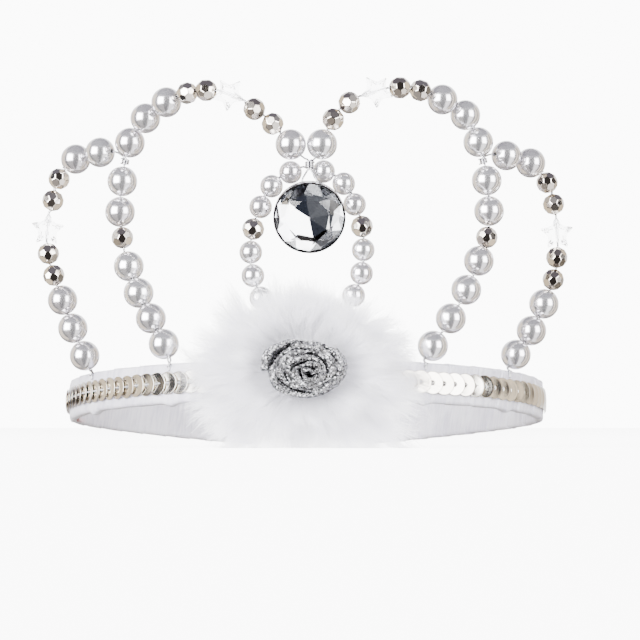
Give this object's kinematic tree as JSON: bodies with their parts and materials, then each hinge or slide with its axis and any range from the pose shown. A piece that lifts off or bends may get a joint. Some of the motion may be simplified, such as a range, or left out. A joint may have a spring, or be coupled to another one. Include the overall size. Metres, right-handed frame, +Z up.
{
  "type": "mini crown headband",
  "caption": "Satin-wound headband with a small crown of pearls, faceted beads and stars on wire, a hanging stone, sequins, a glitter rose and a marabou tuft.",
  "frame": {"origin": "on the surface that the headband stands on, under the middle of its box", "axes": "+X to the right as seen from the front, -Y the way the front faces, +Z up"},
  "size_m": [0.1461, 0.1352, 0.0973],
  "materials": {
    "satin": "satin ribbon, off-white",
    "sequin": "champagne mirror",
    "pearl": "pearl lacquer",
    "silver_bead": "faceted, plated",
    "star": "clear",
    "wire": "bright drawn wire",
    "rim": "polished",
    "stone": "clear, foiled back",
    "glitter": "silver glitter",
    "marabou": "down, white"
  },
  "bodies": {
    "crown": {"band": "satin", "sequins": "sequin", "left_outer_wire": "wire", "left_outer_pearls": "pearl", "left_outer_silver": "silver_bead", "left_outer_star": "star", "left_inner_wire": "wire", "left_inner_pearls": "pearl", "left_inner_silver": "silver_bead", "left_inner_star": "star", "centre_wire": "wire", "centre_pearls": "pearl", "centre_silver": "silver_bead", "right_inner_wire": "wire", "right_inner_pearls": "pearl", "right_inner_silver": "silver_bead", "right_inner_star": "star", "right_outer_wire": "wire", "right_outer_pearls": "pearl", "right_outer_silver": "silver_bead", "right_outer_star": "star", "left_joint": "wire", "right_joint": "wire", "crossing": "wire", "gem_loop": "wire", "rose": "glitter", "fluff": "marabou"},
    "pendant": {"gem_setting": "rim", "gem": "stone"}
  },
  "joints": [
    {"name": "gem_swing", "type": "hinge", "parent": "crown", "child": "pendant", "pos_m": [0.00203, -0.05363, 0.06851], "axis": [1, 0, 0], "range_deg": [-8, 8]}
  ]
}
